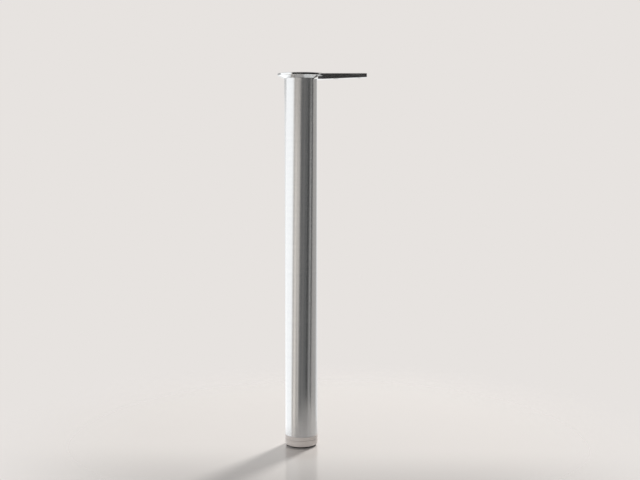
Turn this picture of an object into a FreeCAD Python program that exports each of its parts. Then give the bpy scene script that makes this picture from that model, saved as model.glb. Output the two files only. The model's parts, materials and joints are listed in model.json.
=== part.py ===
# Height adjustable table leg: a round steel tube under a cast mounting plate, with a screw-out foot.
# Millimetres, +Z up, origin on the tube's axis at floor level.
import FreeCAD, Part
import math
import os
import Sketcher
from FreeCAD import Placement, Rotation, Vector

# Driving dimensions: name, value, what it sets
SIZES = [
    ("leg_height", 690, "floor to the top of the mounting plate, foot screwed right in"),
    ("foot_travel", 30, "how far the foot screws out"),
    ("tube_diameter", 60, "outside of the leg tube"),
    ("tube_wall", 1.5, "wall of the leg tube"),
    ("tube_edge", 0.3, "broken edge at the tube's two ends"),
    ("plate_diameter", 85, "round middle of the mounting plate"),
    ("plate_rim", 4.4, "upright rim of the round middle"),
    ("rim_round", 0.8, "rounding between the rim and the cone"),
    ("plate_depth", 9.2, "top face down to the lower edge of the cone"),
    ("plate_edge", 0.5, "chamfer round the plate's top face"),
    ("cone_margin", 2, "lower edge of the cone outside the tube"),
    ("tube_seat", 8, "plate's top face down to the shoulder that the tube stands against"),
    ("hub_play", 0.2, "play between the hub, its socket and the tube"),
    ("hub_wall", 4.3, "wall of the hollow hub"),
    ("hub_tail", 8.5, "hub below the lug of the locking screw"),
    ("hub_lead", 2, "lead-in chamfer of the hub"),
    ("arm_reach", 120, "tube's axis to the tip of an arm"),
    ("arm_width", 25, "width of an arm"),
    ("arm_start", 10, "tube's axis to where an arm's outline starts, inside the hub"),
    ("arm_root_depth", 12, "arm depth where its outline starts"),
    ("arm_tip_depth", 7.4, "arm depth at its tip"),
    ("arm_corner", 3, "corner radius of the tip in plan"),
    ("arm_edge", 0.6, "fillet along the arms' lower edges"),
    ("web_inset", 4, "slanting sides of the webs beside an arm, inside the edge of the round middle"),
    ("web_spread", 7.5, "how far the webs' outer corners stand off from the line between the arms"),
    ("hole_diameter", 5.2, "screw hole"),
    ("head_diameter", 10.4, "recess for a screw head"),
    ("head_recess", 1.2, "depth of that recess at an arm's tip"),
    ("sink_depth", 2.2, "depth of the countersink"),
    ("disc_recess", 0.7, "depth of the recesses inside the hub"),
    ("hub_hole_inset", 7, "hub's bore to the axes of the screw holes inside it"),
    ("hub_hole_angle", 225, "direction of the first of those holes"),
    ("arm_hole_start", 21.5, "round middle to the inner screw hole of an arm"),
    ("arm_hole_end", 14, "outer screw hole to the tip of the arm"),
    ("relief_end", 10, "casting pocket to the screw hole at each of its ends"),
    ("relief_side", 5.5, "casting pocket to the arm's side"),
    ("relief_floor", 3, "metal under the casting pocket, measured at the tip"),
    ("lock_angle", 45, "direction of the locking screw, between the arms"),
    ("lock_drop", 22, "plate's top face down to the locking screw's axis"),
    ("lock_diameter", 8, "locking screw"),
    ("lock_length", 14, "length of the locking screw"),
    ("lock_bevel", 0.8, "chamfer at both ends of the locking screw"),
    ("lock_socket", 4, "its hexagon socket, across flats"),
    ("lock_socket_depth", 5, "depth of that socket"),
    ("lug_width", 15, "lug inside the hub that the locking screw is threaded in"),
    ("lug_depth", 9, "lug, measured in from the hub's wall"),
    ("key_hole", 5.5, "hole in the tube for the hexagon key"),
    ("thread_play", 0.05, "radial play of a screw in its thread"),
    ("fit_play", 0.05, "play of a pressed piece in its seat"),
    ("turn_gap", 0.3, "play between the glide pad, which stands still, and the foot"),
    ("pad_thickness", 2.1, "glide pad under the foot"),
    ("pad_inset", 1.6, "glide pad's edge inside the cup's lower edge"),
    ("pad_bead", 0.6, "how far the pad's snap bead stands out"),
    ("pad_bead_height", 0.8, "height of that bead"),
    ("cup_height", 11.2, "height of the foot cup"),
    ("cup_taper", 1.2, "how much the cup narrows to its lower edge"),
    ("cup_taper_height", 4, "height of that taper"),
    ("cup_round", 1.6, "rounding of the cup's lower edge"),
    ("cup_lip", 1.2, "thickness of the lip that holds the pad's bead"),
    ("lip_reach", 3.8, "how far that lip reaches in from the cup's wall"),
    ("cup_wall", 3, "wall outside the cup's cored ring"),
    ("cup_hub_wall", 3.4, "wall round the spindle's head"),
    ("cup_roof", 1.8, "plastic left above the cored ring and the head"),
    ("soft_edge", 0.4, "small edge rounding of the plastic pieces"),
    ("cup_gap", 0.4, "line between the foot cup and the tube collar"),
    ("collar_height", 6.6, "part of the tube collar that shows"),
    ("collar_overhang", 0.3, "collar and cup beyond the tube's outside"),
    ("collar_floor", 9, "floor of the collar, flange included"),
    ("spigot_length", 28, "collar inside the tube"),
    ("spigot_play", 0.1, "play of the collar's spigot in the tube"),
    ("spigot_wall", 3, "wall of the spigot"),
    ("boss_wall", 3.5, "plastic round the threaded bush"),
    ("rib_thickness", 2, "ribs in the collar and in the foot"),
    ("rib_count", 6, "ribs in each"),
    ("rib_drop", 3, "collar's ribs end this far below its boss"),
    ("bush_diameter", 15, "threaded bush"),
    ("bush_flange", 22, "its flange"),
    ("bush_flange_height", 2.6, "thickness of that flange"),
    ("bush_inset", 0.4, "flange above the collar's lower face"),
    ("bush_length", 25.6, "bush with its flange"),
    ("bush_proud", 1.6, "bush above the collar's boss"),
    ("spindle_diameter", 10, "spindle"),
    ("spindle_head", 17, "its hexagon head, across flats"),
    ("spindle_head_height", 6.4, "height of that head"),
    ("spindle_end", 0.9, "chamfer at the spindle's end"),
    ("spindle_beyond", 1.4, "spindle beyond the stop nut"),
    ("washer_diameter", 21, "stop washer"),
    ("washer_thickness", 2.5, "its thickness"),
    ("nut_width", 17, "stop nut, across flats"),
    ("nut_height", 8, "hexagon of the stop nut"),
    ("nut_neck_wall", 1.2, "crimped wall above the hexagon"),
    ("nut_neck_height", 2.8, "height of that wall"),
    ("insert_diameter", 13, "locking ring inside that wall"),
    ("insert_height", 2.4, "height of the locking ring"),
    ("stop_gap", 0.3, "washer short of the bush when the foot is right out"),
]
FULL_TURN = 360  # degrees
HEX_SIDES = 6
HEX_HALF_ANGLE = 30  # degrees, from the middle of a hexagon's side to its corner
BEVEL_ANGLE = 30  # degrees, bevel on the corners of hexagons
ARM_COUNT = 2
ARM_ANGLE = 90  # degrees, between the arms
HUB_HOLE_COUNT = 3
SLACK = 1  # how far a cutting outline runs past what it cuts
MATCH = 1e-3  # how closely an edge must meet a size to be picked
TINY = 1e-6


class Size:
    """A number that also knows the sheet expression it comes from, so that it can drive a feature."""

    def __init__(self, text, value):
        self.text = text
        self.value = float(value)

    def __add__(self, other):
        other = as_size(other)
        return Size(f"({self.text} + {other.text})", self.value + other.value)

    def __sub__(self, other):
        other = as_size(other)
        return Size(f"({self.text} - {other.text})", self.value - other.value)

    def __mul__(self, other):
        other = as_size(other)
        return Size(f"({self.text} * {other.text})", self.value * other.value)

    def __truediv__(self, other):
        other = as_size(other)
        return Size(f"({self.text} / {other.text})", self.value / other.value)

    def __neg__(self):
        return Size(f"(0 - {self.text})", -self.value)


def as_size(number):
    return number if isinstance(number, Size) else Size(str(number), number)


def root(size):
    return Size(f"sqrt({size.text})", math.sqrt(size.value))


def cosine(angle):
    angle = as_size(angle)
    return Size(f"cos({angle.text} * 1 deg)", math.cos(math.radians(angle.value)))


def sine(angle):
    angle = as_size(angle)
    return Size(f"sin({angle.text} * 1 deg)", math.sin(math.radians(angle.value)))


doc = FreeCAD.newDocument("TableLeg")
sheet = doc.addObject("Spreadsheet::Sheet", "Sizes")
for row, (alias, amount, meaning) in enumerate(SIZES, start=1):
    sheet.set(f"A{row}", alias)
    sheet.set(f"B{row}", str(amount))
    sheet.set(f"C{row}", meaning)
    sheet.setAlias(f"B{row}", alias)
doc.recompute()
size = {alias: Size(f"Sizes.{alias}", sheet.get(alias)) for alias, _, _ in SIZES}

# Tube and plate
ZERO = as_size(0)
tube_r = size["tube_diameter"] / 2
bore_r = tube_r - size["tube_wall"]
plate_top = size["leg_height"]
plate_r = size["plate_diameter"] / 2
tube_top = plate_top - size["tube_seat"]
cone_bottom = plate_top - size["plate_depth"]
socket_r = tube_r + size["hub_play"]
hub_r = bore_r - size["hub_play"]
hub_bore_r = hub_r - size["hub_wall"]
head_land = size["arm_tip_depth"] - size["head_recess"]
disc_bottom = plate_top - head_land - size["disc_recess"]
lock_r = size["lock_diameter"] / 2
lock_tip_r = lock_r - size["lock_bevel"]
lock_height = plate_top - size["lock_drop"]
lock_end = root(bore_r * bore_r - lock_tip_r * lock_tip_r)
lug_bottom = lock_height - size["lug_width"] / 2
hub_bottom = lug_bottom - size["hub_tail"]

# Glide pad and foot cup
outer_r = tube_r + size["collar_overhang"]
cup_lower_r = outer_r - size["cup_taper"]
cup_wall_r = cup_lower_r - size["cup_wall"]
cup_lip_r = cup_wall_r - size["lip_reach"]
pad_r = cup_lower_r - size["pad_inset"]
pad_neck_r = cup_lip_r - size["turn_gap"]
pad_bead_r = pad_neck_r + size["pad_bead"]
cup_bottom = size["pad_thickness"] + size["turn_gap"]
cup_lip_top = cup_bottom + size["cup_lip"]
pad_bead_bottom = cup_lip_top + size["turn_gap"]
pad_top = pad_bead_bottom + size["pad_bead_height"]
cup_core_bottom = pad_top + size["turn_gap"]
cup_top = cup_bottom + size["cup_height"]
cup_ceiling = cup_top - size["cup_roof"]

# Tube collar, bush, spindle and stop
collar_bottom = cup_top + size["cup_gap"]
tube_bottom = collar_bottom + size["collar_height"]
collar_floor_top = collar_bottom + size["collar_floor"]
spigot_r = bore_r - size["spigot_play"]
spigot_bore_r = spigot_r - size["spigot_wall"]
spigot_top = tube_bottom + size["spigot_length"]
bush_r = size["bush_diameter"] / 2
bush_flange_r = size["bush_flange"] / 2
bush_bottom = collar_bottom + size["bush_inset"]
bush_shoulder = bush_bottom + size["bush_flange_height"]
bush_top = bush_bottom + size["bush_length"]
boss_r = bush_r + size["fit_play"] + size["boss_wall"]
boss_top = bush_top - size["bush_proud"]
spindle_r = size["spindle_diameter"] / 2
thread_r = spindle_r + size["thread_play"]
head_corner_r = size["spindle_head"] / 2 / cosine(HEX_HALF_ANGLE)
head_bottom = cup_ceiling - size["spindle_head_height"]
washer_bottom = bush_top + size["foot_travel"] + size["stop_gap"]
nut_bottom = washer_bottom + size["washer_thickness"]
nut_shoulder = nut_bottom + size["nut_height"]
nut_top = nut_shoulder + size["nut_neck_height"]
insert_r = size["insert_diameter"] / 2
spindle_top = nut_top + size["spindle_beyond"]


def new_body(name):
    body = doc.addObject("PartDesign::Body", name)
    body.Label = name
    return body


def origin_feature(body, role):
    return next(feature for feature in body.Origin.OriginFeatures if feature.Role == role)


def new_sketch(body, name, role, rise=ZERO):
    """A sketch on one of the body's origin planes, lifted along the plane's normal."""
    sketch = body.newObject("Sketcher::SketchObject", name)
    sketch.AttachmentSupport = [(origin_feature(body, role), "")]
    sketch.MapMode = "FlatFace"
    sketch.setExpression("AttachmentOffset.Base.z", rise.text)
    return sketch


def new_radial_sketch(body, name, angle, distance=ZERO):
    """A sketch square to a direction from the leg's axis, with Z up, at a distance from that axis."""
    sketch = body.newObject("Sketcher::SketchObject", name)
    sketch.AttachmentSupport = [(origin_feature(body, "YZ_Plane"), "")]
    sketch.MapMode = "FlatFace"
    sketch.AttachmentOffset = Placement(Vector(0, 0, 0), Rotation(Vector(0, 1, 0), angle.value))
    sketch.setExpression("AttachmentOffset.Rotation.Angle", f"{angle.text} * 1 deg")
    sketch.setExpression("AttachmentOffset.Base.x", (distance * sine(angle)).text)
    sketch.setExpression("AttachmentOffset.Base.z", (distance * cosine(angle)).text)
    return sketch


def pin_point(sketch, shape, point, across, up):
    """Ties one point of a sketch to two sizes, measured from the sketch's origin."""
    for kind, distance, axis in (("DistanceX", across, -2), ("DistanceY", up, -1)):
        if abs(distance.value) < TINY:
            sketch.addConstraint(Sketcher.Constraint("PointOnObject", shape, point, axis))
            continue
        place = sketch.addConstraint(Sketcher.Constraint(kind, -1, 1, shape, point, distance.value))
        sketch.setExpression(f"Constraints[{place}]", distance.text)


def corner_directions(spots, i):
    """Unit vectors from a corner of an outline to the corners before and after it."""
    back = spots[i - 1] - spots[i]
    ahead = spots[(i + 1) % len(spots)] - spots[i]
    return back.normalize(), ahead.normalize()


def draw_outline(sketch, corners, rounds=None):
    """A closed outline of straight lines through corners, each a pair of sizes, some of them rounded."""
    rounds = rounds or {}
    spots = [Vector(across.value, up.value, 0) for across, up in corners]
    count = len(corners)
    ends = []
    for i in range(count):
        back, ahead = corner_directions(spots, i)
        cut_back = rounds[i].value / math.tan(back.getAngle(ahead) / 2) if i in rounds else 0
        ends.append((spots[i] + back * cut_back, spots[i] + ahead * cut_back))
    for i in range(count):
        sketch.addGeometry(Part.LineSegment(ends[i][1], ends[(i + 1) % count][0]), False)
    for i, (across, up) in enumerate(corners):
        if i in rounds:
            round_corner(sketch, spots, i, across, up, rounds[i])
        else:
            sketch.addConstraint(Sketcher.Constraint("Coincident", (i - 1) % count, 2, i, 1))
            pin_point(sketch, i, 1, across, up)


def round_corner(sketch, spots, i, across, up, radius):
    """An arc between two lines of an outline, whose corner stays tied to its sizes as a point on both."""
    back, ahead = corner_directions(spots, i)
    half = back.getAngle(ahead) / 2
    middle = spots[i] + (back + ahead).normalize() * (radius.value / math.sin(half))
    spokes = [spots[i] + way * (radius.value / math.tan(half)) - middle for way in (back, ahead)]
    angles = [math.atan2(spoke.y, spoke.x) for spoke in spokes]
    leftward = spokes[0].cross(spokes[1]).z > 0
    first, last = angles if leftward else reversed(angles)
    circle = Part.Circle(middle, Vector(0, 0, 1), radius.value)
    arc = sketch.addGeometry(Part.ArcOfCircle(circle, first, last), False)
    before = (i - 1) % len(spots)
    sketch.addConstraint(Sketcher.Constraint("Tangent", arc, 1 if leftward else 2, before, 2))
    sketch.addConstraint(Sketcher.Constraint("Tangent", arc, 2 if leftward else 1, i, 1))
    place = sketch.addConstraint(Sketcher.Constraint("Radius", arc, radius.value))
    sketch.setExpression(f"Constraints[{place}]", radius.text)
    corner = sketch.addGeometry(Part.Point(spots[i]), True)
    pin_point(sketch, corner, 1, across, up)
    for line in (before, i):
        sketch.addConstraint(Sketcher.Constraint("PointOnObject", corner, 1, line))


def draw_circles(sketch, circles):
    """Circles, each its centre across, its centre up and its radius."""
    for across, up, radius in circles:
        middle = Vector(across.value, up.value, 0)
        shape = sketch.addGeometry(Part.Circle(middle, Vector(0, 0, 1), radius.value), False)
        pin_point(sketch, shape, 3, across, up)
        place = sketch.addConstraint(Sketcher.Constraint("Radius", shape, radius.value))
        sketch.setExpression(f"Constraints[{place}]", radius.text)


def draw_hexagon(sketch, flats):
    """A regular hexagon about the sketch's origin, sized across its flats."""
    corner = flats / 2 / cosine(HEX_HALF_ANGLE)
    angles = [2 * HEX_HALF_ANGLE * k for k in range(HEX_SIDES)]
    draw_outline(sketch, [(corner * cosine(angle), corner * sine(angle)) for angle in angles])


def build_feature(body, feature, sketch, **settings):
    """Gives a new feature its sketch and settings, and makes sure that it changed the solid."""
    before = body.Shape.Volume if body.Shape.Solids else 0
    feature.Profile = sketch
    for key, value in settings.items():
        setattr(feature, key, value)
    doc.recompute()
    if abs(body.Shape.Volume - before) < TINY:
        raise RuntimeError(f"{feature.Name} changes nothing")
    return feature


def turn_outline(body, name, corners, cut=False, rounds=None):
    """Turns an outline of radii and heights about the leg's axis, adding it or cutting it."""
    sketch = new_sketch(body, name + "_outline", "XZ_Plane")
    draw_outline(sketch, corners, rounds)
    kind = "PartDesign::Groove" if cut else "PartDesign::Revolution"
    feature = body.newObject(kind, name)
    return build_feature(body, feature, sketch, ReferenceAxis=(sketch, ["V_Axis"]), Angle=FULL_TURN)


def pad(body, name, sketch, length, **settings):
    feature = body.newObject("PartDesign::Pad", name)
    feature.setExpression("Length", length.text)
    return build_feature(body, feature, sketch, **settings)


def pocket(body, name, sketch, length, **settings):
    feature = body.newObject("PartDesign::Pocket", name)
    feature.setExpression("Length", length.text)
    return build_feature(body, feature, sketch, **settings)


def repeat(body, name, originals, angle, count):
    """Repeats features round the leg's axis."""
    before = body.Shape.Volume
    pattern = body.newObject("PartDesign::PolarPattern", name)
    pattern.Originals = originals
    pattern.Axis = (origin_feature(body, "Z_Axis"), [""])
    pattern.Angle = angle
    if isinstance(count, Size):
        pattern.setExpression("Occurrences", count.text)
    else:
        pattern.Occurrences = count
    body.Tip = pattern
    doc.recompute()
    if abs(body.Shape.Volume - before) < TINY:
        raise RuntimeError(f"{name} changes nothing")


def soften(body, name, kind, amount, wanted):
    """Fillets or chamfers the edges of the body that meet a test."""
    base = body.Tip
    names = [f"Edge{i}" for i, edge in enumerate(base.Shape.Edges, start=1) if wanted(edge)]
    if not names:
        raise RuntimeError(f"{name} found no edges")
    feature = body.newObject(f"PartDesign::{kind}", name)
    feature.Base = (base, names)
    feature.setExpression("Radius" if kind == "Fillet" else "Size", amount.text)
    doc.recompute()
    if "Invalid" in feature.State:
        raise RuntimeError(f"{name} failed on {names}")


def near(first, second):
    return abs(first - second) < MATCH


def is_ring(edge, radius, height):
    """True for a circle about the leg's axis with this radius at this height."""
    curve = edge.Curve
    return (
        isinstance(curve, Part.Circle)
        and near(curve.Radius, radius.value)
        and near(curve.Center.z, height.value)
        and near(math.hypot(curve.Center.x, curve.Center.y), 0)
    )


def add_ribs(body, name, inner, outer, bottom, top):
    """Radial ribs between two round walls, each rib running a little into both."""
    half = size["rib_thickness"] / 2
    sketch = new_sketch(body, name + "_outline", "XY_Plane", rise=bottom)
    start = inner - half
    end = outer + half
    draw_outline(sketch, [(start, -half), (end, -half), (end, half), (start, half)])
    rib = pad(body, name, sketch, top - bottom)
    repeat(body, name + "_pattern", [rib], FULL_TURN, size["rib_count"])


def bevel_hexagon(body, name, flats, face, inward):
    """Turned bevel on a hexagon's corners; inward is 1 where the metal lies above the face, else -1."""
    inner = flats / 2
    outer = inner / cosine(HEX_HALF_ANGLE) + SLACK
    rise = (outer - inner) * sine(BEVEL_ANGLE) / cosine(BEVEL_ANGLE) * inward
    turn_outline(body, name, [(inner, face), (outer, face), (outer, face + rise)], cut=True)


def make_mounting_plate():
    body = new_body("mounting_plate")
    add_arms(body)
    turn_outline(
        body,
        "round_middle",
        [
            (ZERO, plate_top),
            (plate_r, plate_top),
            (plate_r, plate_top - size["plate_rim"]),
            (tube_r + size["cone_margin"], cone_bottom),
            (hub_r, cone_bottom),
            (hub_r, hub_bottom),
            (ZERO, hub_bottom),
        ],
        rounds={2: size["rim_round"]},
    )
    tip_bottom = plate_top - size["arm_tip_depth"]

    def is_arm_lower_edge(edge):
        box = edge.BoundBox
        return box.ZMax < tip_bottom.value + MATCH and max(box.XMax, box.YMax) > plate_r.value

    def is_top_outline(edge):
        return near(edge.BoundBox.ZMin, plate_top.value) and near(edge.BoundBox.ZMax, plate_top.value)

    soften(body, "arm_lower_edges", "Fillet", size["arm_edge"], is_arm_lower_edge)
    soften(body, "top_edge", "Chamfer", size["plate_edge"], is_top_outline)
    # The tube's end goes into a groove, and the hub is hollow from below
    groove_bottom = plate_top - size["arm_root_depth"] - SLACK
    tube_groove = [(hub_r, tube_top), (socket_r, tube_top), (socket_r, groove_bottom), (hub_r, groove_bottom)]
    turn_outline(body, "tube_groove", tube_groove, cut=True)
    end = hub_bottom - SLACK
    turn_outline(body, "hub_bore", [(ZERO, disc_bottom), (hub_bore_r, disc_bottom), (hub_bore_r, end), (ZERO, end)],
                 cut=True)
    soften(body, "hub_lead", "Chamfer", size["hub_lead"], lambda edge: is_ring(edge, hub_r, hub_bottom))
    add_lock_lug(body)
    cut_screw_holes(body)
    cut_relief_pockets(body)
    return body


def add_arms(body):
    """One arm along +X, webbed at its root and with a sloping underside, and its twin along +Y."""
    half = size["arm_width"] / 2
    slant = (plate_r - size["web_inset"]) * root(as_size(2))  # across plus up, all along a web's slanting side
    web_half = (slant - size["web_spread"]) / 2
    low = plate_top - size["arm_root_depth"]
    side = [(size["arm_start"], half), (slant - web_half, web_half), (slant - half, half), (size["arm_reach"], half)]
    corners = [(across, -up) for across, up in side] + side[::-1]
    tip = len(side)
    sketch = new_sketch(body, "arm_outline", "XY_Plane", rise=low)
    draw_outline(sketch, corners, rounds={tip - 1: size["arm_corner"], tip: size["arm_corner"]})
    arm = pad(body, "arm", sketch, size["arm_root_depth"])
    beyond = size["arm_reach"] + SLACK
    length = size["arm_reach"] - size["arm_start"]
    rise = (size["arm_root_depth"] - size["arm_tip_depth"]) / length * (length + SLACK)
    slope = new_sketch(body, "underside_outline", "XZ_Plane")
    draw_outline(slope, [(size["arm_start"], low), (beyond, low), (beyond, low + rise)])
    underside = pocket(body, "underside", slope, web_half * 2 + SLACK, Midplane=True)
    repeat(body, "arms", [arm, underside], ARM_ANGLE, ARM_COUNT)


def add_lock_lug(body):
    """A lug inside the hub, from its roof down, with the threaded hole for the locking screw."""
    half = size["lug_width"] / 2
    sketch = new_radial_sketch(body, "lock_lug_outline", size["lock_angle"], hub_bore_r - size["lug_depth"])
    roof = disc_bottom + size["disc_recess"]
    draw_outline(sketch, [(-half, lug_bottom), (half, lug_bottom), (half, roof), (-half, roof)])
    pad(body, "lock_lug", sketch, size["lug_depth"] + size["hub_wall"] / 2)
    hole = new_radial_sketch(body, "lock_thread_outline", size["lock_angle"])
    draw_circles(hole, [(ZERO, lock_height, lock_r + size["thread_play"])])
    pocket(body, "lock_thread", hole, tube_r, Reversed=True)


def cut_screw_holes(body):
    """Countersunk holes for wood screws driven from below: three inside the hub and two in each arm."""
    circle_r = hub_bore_r - size["hub_hole_inset"]
    places = []
    for k in range(HUB_HOLE_COUNT):
        angle = size["hub_hole_angle"] + k * FULL_TURN / HUB_HOLE_COUNT
        places.append((circle_r * cosine(angle), circle_r * sine(angle)))
    for distance in (plate_r + size["arm_hole_start"], size["arm_reach"] - size["arm_hole_end"]):
        places.append((distance, ZERO))
        places.append((ZERO, distance))
    hole_r = size["hole_diameter"] / 2
    land = plate_top - head_land
    shanks = new_sketch(body, "screw_shanks", "XY_Plane", rise=plate_top)
    draw_circles(shanks, [(across, up, hole_r) for across, up in places])
    pocket(body, "screw_holes", shanks, size["arm_root_depth"])
    heads = new_sketch(body, "screw_heads", "XY_Plane", rise=land)
    draw_circles(heads, [(across, up, size["head_diameter"] / 2) for across, up in places])
    pocket(body, "head_recesses", heads, size["arm_root_depth"] - head_land)

    def is_hole_mouth(edge):
        curve = edge.Curve
        round_edge = isinstance(curve, Part.Circle)
        return round_edge and near(curve.Radius, hole_r.value) and near(curve.Center.z, land.value)

    soften(body, "countersinks", "Chamfer", size["sink_depth"], is_hole_mouth)


def cut_relief_pockets(body):
    """Shallow casting pockets in the tops of the arms, between their screw holes."""
    start = plate_r + size["arm_hole_start"] + size["relief_end"]
    end = size["arm_reach"] - size["arm_hole_end"] - size["relief_end"]
    half = size["arm_width"] / 2 - size["relief_side"]
    sketch = new_sketch(body, "relief_outline", "XY_Plane", rise=plate_top)
    draw_outline(sketch, [(start, -half), (end, -half), (end, half), (start, half)])
    relief = pocket(body, "relief", sketch, size["arm_tip_depth"] - size["relief_floor"])
    repeat(body, "reliefs", [relief], ARM_ANGLE, ARM_COUNT)


def make_leg_tube():
    body = new_body("leg_tube")
    turn_outline(body, "tube", [(bore_r, tube_bottom), (tube_r, tube_bottom), (tube_r, tube_top), (bore_r, tube_top)])

    def is_outer_end(edge):
        return is_ring(edge, tube_r, tube_bottom) or is_ring(edge, tube_r, tube_top)

    soften(body, "broken_edges", "Chamfer", size["tube_edge"], is_outer_end)
    hole = new_radial_sketch(body, "key_hole_outline", size["lock_angle"])
    draw_circles(hole, [(ZERO, lock_height, size["key_hole"] / 2)])
    pocket(body, "key_hole", hole, tube_r + SLACK, Reversed=True)
    return body


def make_locking_screw():
    """The set screw, modelled along Z and laid along its direction, with its socket end outwards."""
    body = new_body("locking_screw")
    length = size["lock_length"]
    turn_outline(
        body,
        "set_screw",
        [
            (ZERO, ZERO),
            (lock_tip_r, ZERO),
            (lock_r, size["lock_bevel"]),
            (lock_r, length - size["lock_bevel"]),
            (lock_tip_r, length),
            (ZERO, length),
        ],
    )
    socket = new_sketch(body, "socket_outline", "XY_Plane", rise=length)
    draw_hexagon(socket, size["lock_socket"])
    pocket(body, "socket", socket, size["lock_socket_depth"])
    start = lock_end - length
    laid_down = Rotation(Vector(0, 1, 0), 90)
    body.Placement = Placement(Vector(0, 0, 0), Rotation(Vector(0, 0, 1), size["lock_angle"].value) * laid_down)
    body.setExpression("Placement.Base.x", (start * cosine(size["lock_angle"])).text)
    body.setExpression("Placement.Base.y", (start * sine(size["lock_angle"])).text)
    body.setExpression("Placement.Base.z", lock_height.text)
    return body


def make_tube_collar():
    body = new_body("tube_collar")
    flange_seat_r = bush_flange_r + size["fit_play"]
    bush_seat_r = bush_r + size["fit_play"]
    turn_outline(
        body,
        "collar",
        [
            (flange_seat_r, collar_bottom),
            (outer_r, collar_bottom),
            (outer_r, tube_bottom),
            (spigot_r, tube_bottom),
            (spigot_r, spigot_top),
            (spigot_bore_r, spigot_top),
            (spigot_bore_r, collar_floor_top),
            (boss_r, collar_floor_top),
            (boss_r, boss_top),
            (bush_seat_r, boss_top),
            (bush_seat_r, bush_shoulder),
            (flange_seat_r, bush_shoulder),
        ],
    )
    add_ribs(body, "collar_rib", boss_r, spigot_bore_r, collar_floor_top, boss_top - size["rib_drop"])

    def is_flange_edge(edge):
        return is_ring(edge, outer_r, collar_bottom) or is_ring(edge, outer_r, tube_bottom)

    soften(body, "flange_edges", "Fillet", size["soft_edge"], is_flange_edge)
    soften(body, "spigot_lead", "Chamfer", size["spigot_wall"] / 2, lambda edge: is_ring(edge, spigot_r, spigot_top))
    return body


def make_threaded_bush():
    body = new_body("threaded_bush")
    turn_outline(
        body,
        "bush",
        [
            (thread_r, bush_bottom),
            (bush_flange_r, bush_bottom),
            (bush_flange_r, bush_shoulder),
            (bush_r, bush_shoulder),
            (bush_r, bush_top),
            (thread_r, bush_top),
        ],
    )
    return body


def make_spindle():
    body = new_body("spindle")
    turn_outline(
        body,
        "shank",
        [
            (ZERO, head_bottom),
            (spindle_r, head_bottom),
            (spindle_r, spindle_top - size["spindle_end"]),
            (spindle_r - size["spindle_end"], spindle_top),
            (ZERO, spindle_top),
        ],
    )
    sketch = new_sketch(body, "head_outline", "XY_Plane", rise=head_bottom)
    draw_hexagon(sketch, size["spindle_head"])
    pad(body, "head", sketch, size["spindle_head_height"])
    bevel_hexagon(body, "head_bevel", size["spindle_head"], head_bottom, inward=1)
    return body


def make_stop_washer():
    body = new_body("stop_washer")
    rim = size["washer_diameter"] / 2
    turn_outline(body, "washer", [(thread_r, washer_bottom), (rim, washer_bottom), (rim, nut_bottom),
                                  (thread_r, nut_bottom)])
    return body


def make_stop_nut():
    body = new_body("stop_nut")
    sketch = new_sketch(body, "nut_outline", "XY_Plane", rise=nut_bottom)
    draw_hexagon(sketch, size["nut_width"])
    pad(body, "hexagon", sketch, size["nut_height"])
    bevel_hexagon(body, "upper_bevel", size["nut_width"], nut_shoulder, inward=-1)
    bevel_hexagon(body, "lower_bevel", size["nut_width"], nut_bottom, inward=1)
    seat_r = insert_r + size["fit_play"]
    neck_r = seat_r + size["nut_neck_wall"]
    turn_outline(body, "neck", [(ZERO, nut_bottom + SLACK), (neck_r, nut_bottom + SLACK), (neck_r, nut_top),
                                (ZERO, nut_top)])
    below = nut_bottom - SLACK
    above = nut_top + SLACK
    turn_outline(
        body,
        "thread_and_seat",
        [
            (ZERO, below),
            (thread_r, below),
            (thread_r, nut_shoulder),
            (seat_r, nut_shoulder),
            (seat_r, above),
            (ZERO, above),
        ],
        cut=True,
    )
    return body


def make_nut_insert():
    body = new_body("nut_insert")
    top = nut_shoulder + size["insert_height"]
    turn_outline(body, "ring", [(thread_r, nut_shoulder), (insert_r, nut_shoulder), (insert_r, top), (thread_r, top)])
    return body


def make_foot_cup():
    body = new_body("foot_cup")
    shank_seat_r = spindle_r + size["fit_play"]
    core_r = head_corner_r + size["fit_play"] + size["cup_hub_wall"]
    turn_outline(
        body,
        "cup",
        [
            (shank_seat_r, cup_top),
            (outer_r, cup_top),
            (outer_r, cup_bottom + size["cup_taper_height"]),
            (cup_lower_r, cup_bottom),
            (cup_lip_r, cup_bottom),
            (cup_lip_r, cup_lip_top),
            (cup_wall_r, cup_lip_top),
            (cup_wall_r, cup_ceiling),
            (core_r, cup_ceiling),
            (core_r, cup_core_bottom),
            (shank_seat_r, cup_core_bottom),
        ],
    )
    add_ribs(body, "cup_rib", core_r, cup_wall_r, cup_core_bottom, cup_ceiling)
    head = new_sketch(body, "head_seat_outline", "XY_Plane", rise=cup_core_bottom)
    draw_hexagon(head, size["spindle_head"] + size["fit_play"] * 2)
    pocket(body, "head_seat", head, cup_ceiling - cup_core_bottom, Reversed=True)
    soften(body, "cup_upper_edge", "Fillet", size["soft_edge"], lambda edge: is_ring(edge, outer_r, cup_top))
    soften(body, "cup_lower_edge", "Fillet", size["cup_round"], lambda edge: is_ring(edge, cup_lower_r, cup_bottom))
    return body


def make_glide_pad():
    body = new_body("glide_pad")
    disc_top = size["pad_thickness"]
    turn_outline(
        body,
        "pad",
        [
            (ZERO, ZERO),
            (pad_r, ZERO),
            (pad_r, disc_top),
            (pad_neck_r, disc_top),
            (pad_neck_r, pad_bead_bottom),
            (pad_bead_r, pad_bead_bottom),
            (pad_bead_r, pad_top),
            (ZERO, pad_top),
        ],
    )
    soften(body, "pad_edge", "Fillet", size["soft_edge"], lambda edge: is_ring(edge, pad_r, ZERO))
    return body


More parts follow.
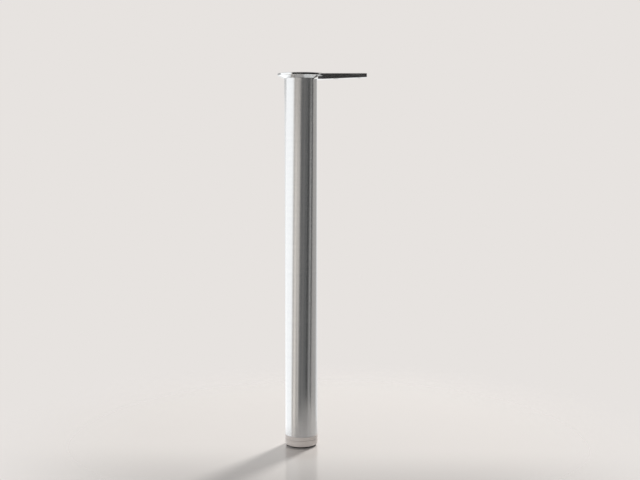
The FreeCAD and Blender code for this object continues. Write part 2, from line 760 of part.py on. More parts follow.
pieces = [
    make_mounting_plate(),
    make_locking_screw(),
    make_leg_tube(),
    make_tube_collar(),
    make_threaded_bush(),
    make_spindle(),
    make_stop_washer(),
    make_stop_nut(),
    make_nut_insert(),
    make_foot_cup(),
    make_glide_pad(),
]
doc.recompute()

for item in doc.Objects:
    if "Invalid" in item.State or "Error" in item.State:
        raise RuntimeError(f"{item.Label} is {item.State}")
for piece in pieces:
    if piece.Shape.isNull() or not piece.Shape.isValid() or len(piece.Shape.Solids) != 1:
        raise RuntimeError(f"{piece.Label} has no valid single solid")

os.makedirs("parts", exist_ok=True)
for piece in pieces:
    piece.Shape.exportStep(os.path.join("parts", piece.Label + ".step"))
    box = piece.Shape.BoundBox
    print(f"{piece.Label}: {piece.Shape.Volume / 1000:.1f} cm3, z {box.ZMin:.2f} to {box.ZMax:.2f}")
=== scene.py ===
import json
import math

import bpy
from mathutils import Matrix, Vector


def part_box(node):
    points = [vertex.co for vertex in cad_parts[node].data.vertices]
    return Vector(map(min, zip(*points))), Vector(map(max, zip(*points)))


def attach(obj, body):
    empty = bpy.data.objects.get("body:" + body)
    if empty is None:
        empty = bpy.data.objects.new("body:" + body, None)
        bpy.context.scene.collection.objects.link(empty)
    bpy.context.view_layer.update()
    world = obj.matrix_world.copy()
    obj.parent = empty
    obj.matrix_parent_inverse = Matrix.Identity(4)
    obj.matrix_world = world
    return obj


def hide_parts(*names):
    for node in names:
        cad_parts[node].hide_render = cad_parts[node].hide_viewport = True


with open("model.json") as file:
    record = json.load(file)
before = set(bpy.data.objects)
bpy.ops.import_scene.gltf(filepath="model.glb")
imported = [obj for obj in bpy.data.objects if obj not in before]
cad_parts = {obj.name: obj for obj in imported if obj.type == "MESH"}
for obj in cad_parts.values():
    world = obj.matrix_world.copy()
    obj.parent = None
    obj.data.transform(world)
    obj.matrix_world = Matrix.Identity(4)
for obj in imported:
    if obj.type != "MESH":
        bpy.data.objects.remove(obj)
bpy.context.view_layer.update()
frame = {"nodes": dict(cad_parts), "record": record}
nodes = frame["nodes"]
print("frame loaded:", ", ".join(sorted(nodes)))


def addObject(name, data):
    thing = bpy.data.objects.new(name, data)
    bpy.context.scene.collection.objects.link(thing)
    return thing


def addNode(tree, kind, **settings):
    node = tree.nodes.new(kind)
    for name, value in settings.items():
        setattr(node, name, value)
    return node


# gives a socket either a link or a plain value
def feed(tree, socket, value):
    if isinstance(value, bpy.types.NodeSocket):
        tree.links.new(value, socket)
    else:
        socket.default_value = value


def calc(tree, operation, *values):
    node = addNode(tree, "ShaderNodeMath", operation=operation)
    for socket, value in zip(node.inputs, values):
        feed(tree, socket, value)
    return node.outputs[0]


# maps a value from one span to another, by default with soft ends
def remap(tree, value, fromLow, fromHigh, toLow=0.0, toHigh=1.0, shape="SMOOTHSTEP"):
    node = addNode(tree, "ShaderNodeMapRange", interpolation_type=shape)
    for name, amount in (("Value", value), ("From Min", fromLow), ("From Max", fromHigh),
                         ("To Min", toLow), ("To Max", toHigh)):
        feed(tree, node.inputs[name], amount)
    return node.outputs[0]


# with colours, inputs 6 and 7 and output 2 of a Mix node are the ones in use
def mixColours(tree, factor, first, second, blend="MIX"):
    node = addNode(tree, "ShaderNodeMix", data_type="RGBA", blend_type=blend)
    for socket, value in zip((0, 6, 7), (factor, first, second)):
        feed(tree, node.inputs[socket], value)
    return node.outputs[2]


def noise(tree, vector, scale, detail, roughness):
    node = addNode(tree, "ShaderNodeTexNoise")
    feed(tree, node.inputs["Vector"], vector)
    feed(tree, node.inputs["Scale"], scale)
    node.inputs["Detail"].default_value = detail
    node.inputs["Roughness"].default_value = roughness
    return node.outputs[0]


# tells rays that come straight from the camera from those that a shiny surface mirrors
def rayKinds(tree):
    rays = addNode(tree, "ShaderNodeLightPath").outputs
    mirrored = calc(tree, "MAXIMUM", rays["Is Glossy Ray"], rays["Is Transmission Ray"])
    return rays["Is Camera Ray"], mirrored


def newGroup(name, inputs, outputs):
    group = bpy.data.node_groups.new(name, "ShaderNodeTree")
    for label, value in inputs.items():
        socket = group.interface.new_socket(name=label, in_out="INPUT", socket_type="NodeSocketFloat")
        socket.default_value = value
    for label in outputs:
        group.interface.new_socket(name=label, in_out="OUTPUT", socket_type="NodeSocketFloat")
    entry = addNode(group, "NodeGroupInput")
    leave = addNode(group, "NodeGroupOutput")
    place = addNode(group, "ShaderNodeTexCoord").outputs["Object"]
    return group, entry.outputs, leave.inputs, place


# for all the finishes: a "Detail" is a noise's detail and roughness, a "Span" is mapped to nought to one
effects = {
    "lineDetail": (4.0, 0.65),
    "streakScale": 0.06,  # against that of the lines
    "streakDetail": (2.0, 0.5),
    "cellWeight": 0.6,  # the pebble's cells against its noise
    "grainDetail": (3.0, 0.6),
    "grainSpan": (0.2, 1.0),
    "toneScale": 38.0,
    "toneDetail": (4.0, 0.55),
    "patchDetail": (4.0, 0.6),
    "patchInside": 0.22,  # how softly a patch ends on either side of its edge
    "patchOutside": 0.12,
    "upwardSpan": (0.2, 1.0),
    "speckScale": 420.0,
    "speckDetail": (5.0, 0.75),
    "speckSpan": (0.42, 0.72),
    "cloudScale": 30.0,
    "cloudDetail": (3.0, 0.6),
    "cloudSpan": (0.3, 0.75),
    "leastCloud": 0.25,
    "edgeSamples": 4,
    "edgeSpan": (0.995, 0.86),
    "wearScale": 160.0,
    "wearDetail": (4.0, 0.6),
    "wearSpan": (0.35, 0.6),
    "roundingSamples": 6,
}


# lines round the Z axis, as left by a belt or a lathe tool
def buildTurnedLines():
    group, given, made, place = newGroup("turnedLines", {"Lines per metre": 3000.0, "Stretch": 20.0},
                                         ["Height", "Streak"])
    stretched = addNode(group, "ShaderNodeCombineXYZ")
    for axis, amount in enumerate((given["Stretch"], given["Stretch"], given["Lines per metre"])):
        feed(group, stretched.inputs[axis], amount)
    lines = addNode(group, "ShaderNodeVectorMath", operation="MULTIPLY")
    feed(group, lines.inputs[0], place)
    feed(group, lines.inputs[1], stretched.outputs[0])
    feed(group, made["Height"], noise(group, lines.outputs[0], 1.0, *effects["lineDetail"]))
    wide = addNode(group, "ShaderNodeVectorMath", operation="SCALE")
    feed(group, wide.inputs[0], lines.outputs[0])
    wide.inputs["Scale"].default_value = effects["streakScale"]
    feed(group, made["Streak"], noise(group, wide.outputs[0], 1.0, *effects["streakDetail"]))
    return group


# the fine pebble of a moulded or blasted face
def buildFineGrain():
    group, given, made, place = newGroup("fineGrain", {"Cells per metre": 2500.0}, ["Height", "Tone"])
    cells = addNode(group, "ShaderNodeTexVoronoi", feature="SMOOTH_F1")
    feed(group, cells.inputs["Vector"], place)
    feed(group, cells.inputs["Scale"], given["Cells per metre"])
    soft = noise(group, place, given["Cells per metre"], *effects["grainDetail"])
    height = calc(group, "MULTIPLY_ADD", cells.outputs["Distance"], effects["cellWeight"], soft)
    feed(group, made["Height"], height)
    feed(group, made["Tone"], noise(group, place, effects["toneScale"], *effects["toneDetail"]))
    return group


# patches where hands and cloths have been
def buildHandling():
    group, given, made, place = newGroup("handling", {"Patches per metre": 22.0, "Cover": 0.45}, ["Mask"])
    broad = noise(group, place, given["Patches per metre"], *effects["patchDetail"])
    edge = calc(group, "SUBTRACT", 1.0, given["Cover"])
    high = calc(group, "ADD", edge, effects["patchInside"])
    low = calc(group, "SUBTRACT", edge, effects["patchOutside"])
    feed(group, made["Mask"], remap(group, broad, low, high))
    return group


# dust that lies on what faces up, thinner where it is steep
def buildSettledDust():
    group, given, made, place = newGroup("settledDust", {"Amount": 0.3}, ["Mask"])
    facing = addNode(group, "ShaderNodeSeparateXYZ")
    feed(group, facing.inputs[0], addNode(group, "ShaderNodeTexCoord").outputs["Normal"])
    flat = remap(group, facing.outputs["Z"], *effects["upwardSpan"])
    specks = noise(group, place, effects["speckScale"], *effects["speckDetail"])
    specks = remap(group, specks, *effects["speckSpan"])
    clouds = noise(group, place, effects["cloudScale"], *effects["cloudDetail"])
    clouds = remap(group, clouds, *effects["cloudSpan"], effects["leastCloud"])
    spread = calc(group, "MULTIPLY", calc(group, "MULTIPLY", specks, clouds), flat)
    feed(group, made["Mask"], calc(group, "MULTIPLY", spread, given["Amount"]))
    return group


# edges that stand out, found by how far a small rounding would turn the surface there
def buildEdgeMask():
    group, given, made, place = newGroup("edgeMask", {"Width": 0.0006, "Break up": 0.5}, ["Mask"])
    rounded = addNode(group, "ShaderNodeBevel", samples=effects["edgeSamples"])
    feed(group, rounded.inputs["Radius"], given["Width"])
    plain = addNode(group, "ShaderNodeNewGeometry")
    match = addNode(group, "ShaderNodeVectorMath", operation="DOT_PRODUCT")
    feed(group, match.inputs[0], rounded.outputs[0])
    feed(group, match.inputs[1], plain.outputs["Normal"])
    turned = remap(group, match.outputs["Value"], *effects["edgeSpan"])
    worn = noise(group, place, effects["wearScale"], *effects["wearDetail"])
    worn = remap(group, worn, *effects["wearSpan"])
    kept = calc(group, "SUBTRACT", 1.0, calc(group, "MULTIPLY", given["Break up"], worn))
    feed(group, made["Mask"], calc(group, "MULTIPLY", turned, kept))
    return group


turnedLines = buildTurnedLines()
fineGrain = buildFineGrain()
handling = buildHandling()
settledDust = buildSettledDust()
edgeMask = buildEdgeMask()
print("shared effects built")


def placeGroup(tree, group, amounts):
    node = addNode(tree, "ShaderNodeGroup", node_tree=group)
    for label, amount in amounts.items():
        node.inputs[label].default_value = amount
    return node.outputs


# a material with its Principled shader in place; constants sit on the shader's own sockets
def startMaterial(name, constants):
    material = bpy.data.materials.new(name)
    material.use_nodes = True
    tree = material.node_tree
    shader = tree.nodes["Principled BSDF"]
    for label, value in constants.items():
        shader.inputs[label].default_value = value
    return material, tree, shader


# the pebble's tops and hollows differ a little in shine
def grainyRoughness(tree, grain, roughness):
    return remap(tree, grain["Height"], *effects["grainSpan"], *roughness, "LINEAR")


# gives the shader its colour and roughness, both changed where dust lies
def coverWithDust(tree, shader, look, colour, roughness):
    mask = placeGroup(tree, settledDust, look["settled"])["Mask"]
    feed(tree, shader.inputs["Base Color"], mixColours(tree, mask, colour, look["dust"]))
    dulled = calc(tree, "MULTIPLY_ADD", mask, look["dulledByDust"], roughness)
    feed(tree, shader.inputs["Roughness"], dulled)


# a bump over a rounding of sharp edges that the mesh itself doesn't have
def addBump(tree, shader, height, relief):
    rounded = addNode(tree, "ShaderNodeBevel", samples=effects["roundingSamples"])
    rounded.inputs["Radius"].default_value = relief["edgeRadius"]
    bump = addNode(tree, "ShaderNodeBump")
    bump.inputs["Distance"].default_value = relief["depth"]
    bump.inputs["Strength"].default_value = relief["strength"]
    feed(tree, bump.inputs["Height"], height)
    feed(tree, bump.inputs["Normal"], rounded.outputs[0])
    feed(tree, shader.inputs["Normal"], bump.outputs[0])


# in the looks below, a roughness pair goes from the hollows to the tops of lines or grain
tubeLook = {
    "shader": {"Metallic": 1.0, "Anisotropic": 0.75, "Anisotropic Rotation": 0.25},
    "chrome": (0.62, 0.625, 0.625, 1),
    "chromeInStreaks": (0.6, 0.605, 0.61, 1),
    "dust": (0.52, 0.5, 0.47, 1),
    "lines": {"Lines per metre": 2600.0, "Stretch": 26.0},
    "streakSpan": (0.35, 0.7),
    "lineSpan": (0.25, 0.75),
    "roughness": (0.135, 0.17),
    "marks": {"Patches per metre": 14.0, "Cover": 0.4},
    "dulledByHands": 0.03,
    "settled": {"Amount": 0.25},
    "dulledByDust": 0.3,
    "relief": {"depth": 0.000004, "strength": 0.5, "edgeRadius": 0.0002},
}


def makeBrushedChrome():
    look = tubeLook
    material, tree, shader = startMaterial("brushedChrome", look["shader"])
    lines = placeGroup(tree, turnedLines, look["lines"])
    marks = placeGroup(tree, handling, look["marks"])
    streaks = remap(tree, lines["Streak"], *look["streakSpan"])
    chrome = mixColours(tree, streaks, look["chrome"], look["chromeInStreaks"])
    base = remap(tree, lines["Height"], *look["lineSpan"], *look["roughness"], "LINEAR")
    hazy = calc(tree, "MULTIPLY_ADD", marks["Mask"], look["dulledByHands"], base)
    coverWithDust(tree, shader, look, chrome, hazy)
    grain = addNode(tree, "ShaderNodeTangent", direction_type="RADIAL", axis="Z")
    feed(tree, shader.inputs["Tangent"], grain.outputs[0])
    addBump(tree, shader, lines["Height"], look["relief"])
    return material


plateLook = {
    "shader": {"Metallic": 1.0},
    "chrome": (0.63, 0.635, 0.635, 1),
    # a painted highlight: lighter chrome along the edges
    "chromeEdgeHighlight": (0.74, 0.74, 0.73, 1),
    "dust": (0.45, 0.43, 0.4, 1),
    "roughness": 0.06,
    "marks": {"Patches per metre": 55.0, "Cover": 0.42},
    "dulledByHands": 0.05,
    "settled": {"Amount": 0.5},
    "dulledByDust": 0.45,
    "edges": {"Width": 0.0008, "Break up": 0.6},
    "grain": {"Cells per metre": 140.0},
    "relief": {"depth": 0.00025, "strength": 0.35, "edgeRadius": 0.0006},
}


def makePolishedChrome():
    look = plateLook
    material, tree, shader = startMaterial("polishedChrome", look["shader"])
    marks = placeGroup(tree, handling, look["marks"])
    edges = placeGroup(tree, edgeMask, look["edges"])
    grain = placeGroup(tree, fineGrain, look["grain"])
    # painted highlight: the chrome turns lighter along its edges, broken up by noise
    chrome = mixColours(tree, edges["Mask"], look["chrome"], look["chromeEdgeHighlight"])
    hazy = calc(tree, "MULTIPLY_ADD", marks["Mask"], look["dulledByHands"], look["roughness"])
    coverWithDust(tree, shader, look, chrome, hazy)
    addBump(tree, shader, grain["Tone"], look["relief"])
    return material


plasticLook = {
    "shader": {"IOR": 1.49, "Subsurface Weight": 0.06, "Subsurface Radius": (0.9, 0.8, 0.7),
               "Subsurface Scale": 0.0015},
    "plastic": (0.72, 0.67, 0.64, 1),
    "plasticDarker": (0.68, 0.63, 0.6, 1),
    "plasticAtEdges": (0.78, 0.74, 0.71, 1),
    "dust": (0.68, 0.655, 0.62, 1),
    "grain": {"Cells per metre": 2600.0},
    "toneSpan": (0.35, 0.7),
    "roughness": (0.42, 0.52),
    "marks": {"Patches per metre": 60.0, "Cover": 0.45},
    "dulledByHands": -0.07,  # less than nothing: hands polish it
    "settled": {"Amount": 0.5},
    "dulledByDust": 0.3,
    "edges": {"Width": 0.0006, "Break up": 0.7},
    "relief": {"depth": 0.00004, "strength": 0.35, "edgeRadius": 0.0003},
}


def makeGreyPlastic():
    look = plasticLook
    material, tree, shader = startMaterial("greyPlastic", look["shader"])
    grain = placeGroup(tree, fineGrain, look["grain"])
    marks = placeGroup(tree, handling, look["marks"])
    edges = placeGroup(tree, edgeMask, look["edges"])
    tone = remap(tree, grain["Tone"], *look["toneSpan"])
    plain = mixColours(tree, tone, look["plastic"], look["plasticDarker"])
    worn = mixColours(tree, edges["Mask"], plain, look["plasticAtEdges"])
    base = grainyRoughness(tree, grain, look["roughness"])
    hazy = calc(tree, "MULTIPLY_ADD", marks["Mask"], look["dulledByHands"], base)
    coverWithDust(tree, shader, look, worn, hazy)
    addBump(tree, shader, grain["Height"], look["relief"])
    return material


padLook = {
    "shader": {"IOR": 1.5},
    "plastic": (0.011, 0.011, 0.012, 1),
    "plasticScuffed": (0.035, 0.034, 0.032, 1),
    "dust": (0.14, 0.133, 0.122, 1),
    "grain": {"Cells per metre": 1800.0},
    "roughness": (0.55, 0.7),
    "marks": {"Patches per metre": 90.0, "Cover": 0.4},
    "scuffedByHands": 0.25,
    "settled": {"Amount": 0.6},
    "dulledByDust": 0.0,  # the pad is as dull as its dust
    "edges": {"Width": 0.0005, "Break up": 0.8},
    "relief": {"depth": 0.00006, "strength": 0.5, "edgeRadius": 0.0003},
}


def makeBlackPlastic():
    look = padLook
    material, tree, shader = startMaterial("blackPlastic", look["shader"])
    grain = placeGroup(tree, fineGrain, look["grain"])
    marks = placeGroup(tree, handling, look["marks"])
    edges = placeGroup(tree, edgeMask, look["edges"])
    handled = calc(tree, "MULTIPLY", marks["Mask"], look["scuffedByHands"])
    scuffed = calc(tree, "MAXIMUM", handled, edges["Mask"])
    plain = mixColours(tree, scuffed, look["plastic"], look["plasticScuffed"])
    coverWithDust(tree, shader, look, plain, grainyRoughness(tree, grain, look["roughness"]))
    addBump(tree, shader, grain["Height"], look["relief"])
    return material


zincLook = {
    "shader": {"Metallic": 1.0},
    "zinc": (0.6, 0.61, 0.615, 1),
    "zincYellowed": (0.58, 0.55, 0.46, 1),
    "grease": (0.32, 0.3, 0.26, 1),
    "lines": {"Lines per metre": 9000.0, "Stretch": 150.0},
    "lineSpan": (0.3, 0.7),
    "roughness": (0.3, 0.42),
    "marks": {"Patches per metre": 260.0, "Cover": 0.45},
    "greaseCover": 0.4,
    "dulledByGrease": 0.12,
    "grain": {"Cells per metre": 900.0},
    "toneSpan": (0.4, 0.75),
    "relief": {"depth": 0.00001, "strength": 0.4, "edgeRadius": 0.0002},
}


def makeZincPlate():
    look = zincLook
    material, tree, shader = startMaterial("zincPlate", look["shader"])
    lines = placeGroup(tree, turnedLines, look["lines"])
    marks = placeGroup(tree, handling, look["marks"])
    grain = placeGroup(tree, fineGrain, look["grain"])
    clouds = remap(tree, grain["Tone"], *look["toneSpan"])
    plate = mixColours(tree, clouds, look["zinc"], look["zincYellowed"])
    greased = calc(tree, "MULTIPLY", marks["Mask"], look["greaseCover"])
    feed(tree, shader.inputs["Base Color"], mixColours(tree, greased, plate, look["grease"]))
    base = remap(tree, lines["Height"], *look["lineSpan"], *look["roughness"], "LINEAR")
    hazy = calc(tree, "MULTIPLY_ADD", marks["Mask"], look["dulledByGrease"], base)
    feed(tree, shader.inputs["Roughness"], hazy)
    addBump(tree, shader, lines["Height"], look["relief"])
    return material


screwLook = {
    "shader": {"Metallic": 1.0},
    "oxide": (0.035, 0.034, 0.036, 1),
    "oxideRubbed": (0.22, 0.21, 0.2, 1),
    "grain": {"Cells per metre": 5000.0},
    "roughness": (0.38, 0.58),
    "edges": {"Width": 0.0003, "Break up": 0.4},
    "relief": {"depth": 0.00002, "strength": 0.4, "edgeRadius": 0.0002},
}


def makeBlackSteel():
    look = screwLook
    material, tree, shader = startMaterial("blackSteel", look["shader"])
    grain = placeGroup(tree, fineGrain, look["grain"])
    edges = placeGroup(tree, edgeMask, look["edges"])
    steel = mixColours(tree, edges["Mask"], look["oxide"], look["oxideRubbed"])
    feed(tree, shader.inputs["Base Color"], steel)
    feed(tree, shader.inputs["Roughness"], grainyRoughness(tree, grain, look["roughness"]))
    addBump(tree, shader, grain["Height"], look["relief"])
    return material


ringLook = {
    "shader": {"IOR": 1.53, "Subsurface Weight": 0.15, "Subsurface Scale": 0.001},
    "nylon": (0.035, 0.1, 0.32, 1),
    "nylonPaler": (0.08, 0.18, 0.42, 1),
    "grain": {"Cells per metre": 4000.0},
    "toneSpan": (0.5, 0.8),
    "roughness": (0.38, 0.48),
    "edges": {"Width": 0.0003, "Break up": 0.3},
    "relief": {"depth": 0.00002, "strength": 0.3, "edgeRadius": 0.0002},
}


def makeNylon():
    look = ringLook
    material, tree, shader = startMaterial("blueNylon", look["shader"])
    grain = placeGroup(tree, fineGrain, look["grain"])
    edges = placeGroup(tree, edgeMask, look["edges"])
    pale = calc(tree, "MAXIMUM", edges["Mask"], remap(tree, grain["Tone"], *look["toneSpan"]))
    feed(tree, shader.inputs["Base Color"], mixColours(tree, pale, look["nylon"], look["nylonPaler"]))
    feed(tree, shader.inputs["Roughness"], grainyRoughness(tree, grain, look["roughness"]))
    addBump(tree, shader, grain["Height"], look["relief"])
    return material


finishes = {
    "polished_chrome": makePolishedChrome(),
    "brushed_chrome": makeBrushedChrome(),
    "grey_plastic": makeGreyPlastic(),
    "black_plastic": makeBlackPlastic(),
    "zinc_plated_steel": makeZincPlate(),
    "black_steel": makeBlackSteel(),
    "nylon": makeNylon(),
}
for part in frame["record"]["subparts"]:
    cadMesh = nodes[part["node"]].data
    cadMesh.materials.clear()
    cadMesh.materials.append(finishes[part["material_slot"]])


spindleShape = {
    "pitch": 0.0015,
    "crestRadius": 0.00494,
    "threadDepth": 0.00084,
    "crestFlat": 0.16,  # shares of the pitch
    "rootFlat": 0.24,
    "runOut": 0.0012,  # where the thread fades into the head
    "pointHeight": 0.0009,
    "pointRadius": 0.00405,
    "sides": 56,
    "spareTurns": 3,  # turns beyond those that fit, which end flat at the top
    "headAcross": 0.01696,
    "headHeight": 0.0064,
    "headBevel": 0.0009,
    "headInset": 0.0002,  # how far the bevel reaches inside the flats
    "headSides": 36,
    "headOverlap": 0.0002,  # how far the thread starts inside the head
}


# the screw thread as a sleeve of rings that climb one pitch a turn, closed at its end by a flat
def threadedShank(shape, bottom, top):
    sides, pitch, depth = shape["sides"], shape["pitch"], shape["threadDepth"]
    crest, tip = shape["crestRadius"], shape["pointRadius"]
    root = crest - depth
    flank = (1 - shape["crestFlat"] - shape["rootFlat"]) / 2
    rootStart = shape["crestFlat"] + flank
    steps = [(0, 1), (shape["crestFlat"], 1), (rootStart, 0), (rootStart + shape["rootFlat"], 0)]
    turns = int((top - bottom) / pitch) + shape["spareTurns"]
    rings = [(turn + start, height) for turn in range(-1, turns) for start, height in steps]
    points, faces = [], []
    for start, height in rings:
        for side in range(sides):
            turned = side / sides
            z = bottom + (start + turned) * pitch
            radius = root + depth * height
            taper = tip + (top - z) * (crest - tip) / shape["pointHeight"]
            fade = min(max((z - bottom) / shape["runOut"], 0), 1)
            radius = min(crest + (radius - crest) * fade, max(taper, tip))
            angle = 2 * math.pi * turned
            z = min(max(z, bottom), top)
            points.append((radius * math.cos(angle), radius * math.sin(angle), z))
    turnUp = len(steps)  # rings from one pitch to the next
    for ring in range(len(rings) - 1):
        for side in range(sides):
            here = ring * sides + side
            if side < sides - 1:
                faces.append((here, here + 1, here + 1 + sides, here + sides))
            elif ring + turnUp + 1 < len(rings):  # a full turn joins on one pitch further up
                there = (ring + turnUp) * sides
                faces.append((here, there, there + sides, here + sides))
    centre = len(points)
    points.append((0, 0, top))
    last = (len(rings) - 1) * sides
    faces.extend((last + side, last + side + 1, centre) for side in range(sides - 1))
    return points, faces


# a hexagon with its corners turned down on the lower side
def hexagonHead(shape, bottom):
    half = 30  # degrees from a corner to the middle of a flat
    sides, reachFlat = shape["headSides"], shape["headAcross"] / 2
    corner = reachFlat / math.cos(math.radians(half))
    rows = [(reachFlat - shape["headInset"], bottom), (corner, bottom + shape["headBevel"]),
            (corner, bottom + shape["headHeight"])]
    points, faces = [], []
    for reach, z in rows:
        for side in range(sides):
            angle = 2 * math.pi * side / sides
            fromCorner = (math.degrees(angle) + half) % (2 * half) - half
            outline = reachFlat / math.cos(math.radians(half - abs(fromCorner)))
            radius = min(reach, outline)
            points.append((radius * math.cos(angle), radius * math.sin(angle), z))
    for row in range(len(rows) - 1):
        for side in range(sides):
            here, there = row * sides + side, row * sides + (side + 1) % sides
            faces.append((here, there, there + sides, here + sides))
    faces.append(tuple(reversed(range(sides))))
    faces.append(tuple(range((len(rows) - 1) * sides, len(rows) * sides)))
    return points, faces


def makeSpindle():
    shape = spindleShape
    low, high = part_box("spindle")
    threadFrom = low.z + shape["headHeight"] - shape["headOverlap"]
    shank, shankFaces = threadedShank(shape, threadFrom, high.z)
    head, headFaces = hexagonHead(shape, low.z)
    shift = len(shank)
    headFaces = [tuple(i + shift for i in face) for face in headFaces]
    mesh = bpy.data.meshes.new("threadedSpindle")
    mesh.from_pydata(shank + head, [], shankFaces + headFaces)
    mesh.validate()
    mesh.update()
    piece = addObject("threadedSpindle", mesh)
    for face in mesh.polygons:
        face.use_smooth = face.index < len(shankFaces)
    mesh.materials.append(finishes["zinc_plated_steel"])
    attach(piece, "foot")
    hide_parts("spindle")
    print("spindle:", len(mesh.polygons), "faces")


makeSpindle()


# light comes from a plain studio round the leg, as a sky of soft panels; angles are in degrees
studio = {
    "panels": {  # azimuth from the camera's side, half width, lowest, highest, softness, level, warmth
        "backWall": (180, 50, -40, 40, 20, 0.98, 0),
        "rightWall": (118, 28, -40, 36, 16, 0.52, 0.03),
        "darkSide": (44, 50, -36, 36, 3, 0.165, 0),
        "darkSideFold": (24, 3.5, -36, 36, 4, 0.27, 0.03),
        "darkStrip": (57, 5, -36, 36, 3, 0.03, 0),
        "lightStrip": (75.5, 5, -36, 36, 3, 0.52, 0.02),
        "rightEdge": (101, 8, -40, 36, 5, 0.5, 0.04),
        "darkGap": (89, 4, -36, 36, 3, 0.05, 0),
        "leftFill": (-31, 28, -50, 36, 4, 0.78, 0.06),
        "leftBox": (-97, 43, -50, 30, 8, 1.5, -0.01),
        "leftBoxTop": (-94, 39, 12, 28, 8, 1.6, 0),
        "leftFold": (-46, 3.5, -50, 36, 3, 0.45, 0.06),
        "leftSheet": (-33, 6, -50, 36, 4, 1.04, 0.07),
        "leftFoldNear": (-17, 3.5, -50, -9, 3, 0.38, 0.05),
        "rightTop": (22, 66, 11, 36, 6, 0.65, 0),
        "rightGlow": (125, 50, -85, -30, 8, 1.3, 0),
        "darkRail": (18, 66, 2.6, 5.0, 0.8, 0.03, 0),
        "darkRailLeft": (-152, 28, 2.6, 5.0, 0.8, 0.6, 0),
    },
    "lean": 1.55,  # how far the panels lean over, as a share of the height angle
    "leanLimit": 0.5,  # radians above and below the horizon, beyond which they stand straight
    "foldScale": 9.0,
    "foldDetail": 2.0,
    "foldSpan": (0.3, 0.7),
    "unevenness": 0.16,  # how much lighter and darker the folds make the panels
    "overhead": (36, 50),
    "ceiling": (0.06, 0.06, 0.06, 1),
    "zenith": (0.5, 0.485, 0.475, 1),  # the ceiling as shiny surfaces mirror it
    "plainBand": (8, 13, 20, 26),  # where shiny surfaces mirror a plain wall instead of the panels
    "plain": (0.88, 0.846, 0.82, 1),
    "background": (0.799, 0.768, 0.745, 1),
}


def makeWorld():
    world = bpy.data.worlds.new("studio")
    bpy.context.scene.world = world
    world.use_nodes = True
    tree = world.node_tree
    tree.nodes.clear()
    way = addNode(tree, "ShaderNodeSeparateXYZ")
    feed(tree, way.inputs[0], addNode(tree, "ShaderNodeTexCoord").outputs["Generated"])
    around = calc(tree, "ARCTAN2", way.outputs["X"], calc(tree, "MULTIPLY", way.outputs["Y"], -1.0))
    up = calc(tree, "ARCSINE", way.outputs["Z"])
    leaning = calc(tree, "MAXIMUM", up, -studio["leanLimit"])
    leaning = calc(tree, "MINIMUM", leaning, studio["leanLimit"])
    around = calc(tree, "SUBTRACT", around, calc(tree, "MULTIPLY", leaning, studio["lean"]))
    folds = addNode(tree, "ShaderNodeTexNoise", noise_dimensions="1D")
    feed(tree, folds.inputs["W"], calc(tree, "MULTIPLY", around, studio["foldScale"]))
    folds.inputs["Detail"].default_value = studio["foldDetail"]
    uneven = remap(tree, folds.outputs[0], *studio["foldSpan"], 1 - studio["unevenness"],
                   1 + studio["unevenness"], "LINEAR")
    sky = studio["background"]
    for *angles, level, warmth in studio["panels"].values():
        azimuth, half, lowest, highest, soft = (math.radians(angle) for angle in angles)
        turned = calc(tree, "WRAP", calc(tree, "SUBTRACT", around, azimuth), math.pi, -math.pi)
        off = calc(tree, "ABSOLUTE", turned)
        across = remap(tree, off, half + soft / 2, half - soft / 2)
        above = remap(tree, up, lowest - soft / 2, lowest + soft / 2)
        below = remap(tree, up, highest + soft / 2, highest - soft / 2)
        mask = calc(tree, "MULTIPLY", calc(tree, "MULTIPLY", above, below), across)
        sky = mixColours(tree, mask, sky, (level * (1 + warmth), level, level * (1 - warmth), 1))
    sky = mixColours(tree, 1.0, sky, uneven, "MULTIPLY")
    seen, mirrored = rayKinds(tree)
    overhead = remap(tree, up, *(math.radians(angle) for angle in studio["overhead"]))
    ceiling = mixColours(tree, mirrored, studio["ceiling"], studio["zenith"])
    sky = mixColours(tree, overhead, sky, ceiling)
    start, full, thin, end = (math.radians(angle) for angle in studio["plainBand"])
    band = calc(tree, "MULTIPLY", remap(tree, up, start, full), remap(tree, up, end, thin))
    sky = mixColours(tree, calc(tree, "MULTIPLY", mirrored, band), sky, studio["plain"])
    light = addNode(tree, "ShaderNodeBackground")
    feed(tree, light.inputs["Color"], mixColours(tree, seen, sky, studio["background"]))
    feed(tree, addNode(tree, "ShaderNodeOutputWorld").inputs["Surface"], light.outputs[0])


floorLook = {
    "radius": 0.75,
    "sides": 96,
    "gap": 0.0002,  # so that it doesn't lie in one plane with the pad's face
    "shader": {"IOR": 3.2},
    "paint": (0.655, 0.627, 0.609, 1),
    # painted shade: the floor's colour darkens towards the camera's side
    "paintedShadeInFront": (0.375, 0.359, 0.348, 1),
    "paintedShadeAxis": (0.08, 1, 0),
    "paintedShadeSpan": (0.0, -0.3),
    "cloudScale": 5.0,
    "cloudDetail": (4.0, 0.6),
    "cloudSpan": (0.3, 0.75),
    "roughness": (0.13, 0.15),
    "seenFade": {"centre": (0.05, 0.05, 0), "span": (0.3, 0.7), "least": 0.0},
    # shiny surfaces see through some of the floor, even close by
    "mirroredFade": {"centre": (0.1, -0.1, 0), "span": (0.16, 0.32), "least": 0.35},
}


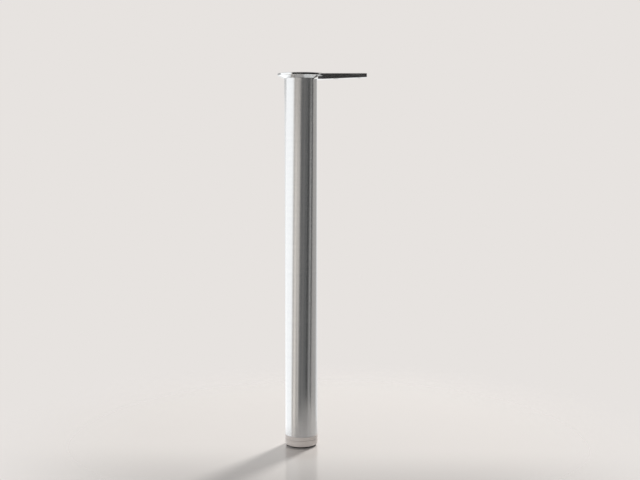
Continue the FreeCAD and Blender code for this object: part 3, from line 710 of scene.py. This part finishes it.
# a pale floor that goes over into the background further out
def makeFloor():
    look = floorLook
    reach, sides = look["radius"], look["sides"]
    angles = [2 * math.pi * side / sides for side in range(sides)]
    ring = [(reach * math.cos(angle), reach * math.sin(angle), -look["gap"]) for angle in angles]
    mesh = bpy.data.meshes.new("floor")
    mesh.from_pydata(ring, [], [tuple(range(sides))])
    floor = addObject("floor", mesh)
    material, tree, shader = startMaterial("paleFloor", look["shader"])
    place = addNode(tree, "ShaderNodeTexCoord").outputs["Object"]
    ahead = addNode(tree, "ShaderNodeVectorMath", operation="DOT_PRODUCT")
    feed(tree, ahead.inputs[0], place)
    ahead.inputs[1].default_value = look["paintedShadeAxis"]
    # painted shade: the floor turns darker towards the front, where less light falls
    shadedFront = remap(tree, ahead.outputs["Value"], *look["paintedShadeSpan"])
    feed(tree, shader.inputs["Base Color"], mixColours(tree, shadedFront, look["paint"], look["paintedShadeInFront"]))
    clouds = noise(tree, place, look["cloudScale"], *look["cloudDetail"])
    shine = remap(tree, clouds, *look["cloudSpan"], *look["roughness"], "LINEAR")
    feed(tree, shader.inputs["Roughness"], shine)
    seen, mirrored = rayKinds(tree)
    backface = addNode(tree, "ShaderNodeNewGeometry").outputs["Backfacing"]
    clearness = calc(tree, "MULTIPLY", backface, seen)  # the camera sees through it from below
    for kind, fade in ((seen, look["seenFade"]), (mirrored, look["mirroredFade"])):
        away = addNode(tree, "ShaderNodeVectorMath", operation="DISTANCE")
        feed(tree, away.inputs[0], place)
        away.inputs[1].default_value = fade["centre"]
        gone = remap(tree, away.outputs["Value"], *fade["span"], fade["least"])
        clearness = calc(tree, "MAXIMUM", clearness, calc(tree, "MULTIPLY", gone, kind))
    clear = addNode(tree, "ShaderNodeBsdfTransparent")
    blend = addNode(tree, "ShaderNodeMixShader")
    for socket, value in enumerate((clearness, shader.outputs[0], clear.outputs[0])):
        feed(tree, blend.inputs[socket], value)
    feed(tree, tree.nodes["Material Output"].inputs["Surface"], blend.outputs[0])
    mesh.materials.append(material)
    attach(floor, "glide")  # it stays under the foot when that is screwed out


lamps = {
    "keyFromBehind": {"place": (2.6, 4.2, 4.4), "aim": (0, 0, 0.2), "size": 1.2, "watts": 456,
                      "colour": (1, 0.985, 0.96)},
}


def makeLamps():
    for name, lamp in lamps.items():
        light = bpy.data.lights.new(name, "AREA")
        light.shape = "DISK"
        light.size = lamp["size"]
        light.energy = lamp["watts"]
        light.color = lamp["colour"]
        holder = addObject(name, light)
        holder.location = lamp["place"]
        aim = Vector(lamp["aim"]) - holder.location
        holder.rotation_euler = aim.to_track_quat("-Z", "Y").to_euler()
        holder.visible_glossy = False  # metal mirrors the panels only


# angles in degrees, lens and sensor in millimetres
view = {"place": (0, -1.94, 0.564), "down": 5.257, "right": 1.03, "lens": 59.33, "sensor": 36, "farthest": 60}


def makeCamera():
    lens = bpy.data.cameras.new("camera")
    lens.lens = view["lens"]
    lens.sensor_width = view["sensor"]
    lens.clip_end = view["farthest"]
    holder = addObject("camera", lens)
    holder.location = view["place"]
    holder.rotation_euler = (math.radians(90 - view["down"]), 0, -math.radians(view["right"]))
    bpy.context.scene.camera = holder


makeWorld()
makeFloor()
makeLamps()
makeCamera()
bpy.context.scene.view_settings.view_transform = "Standard"
print("stage, lamps and camera placed")
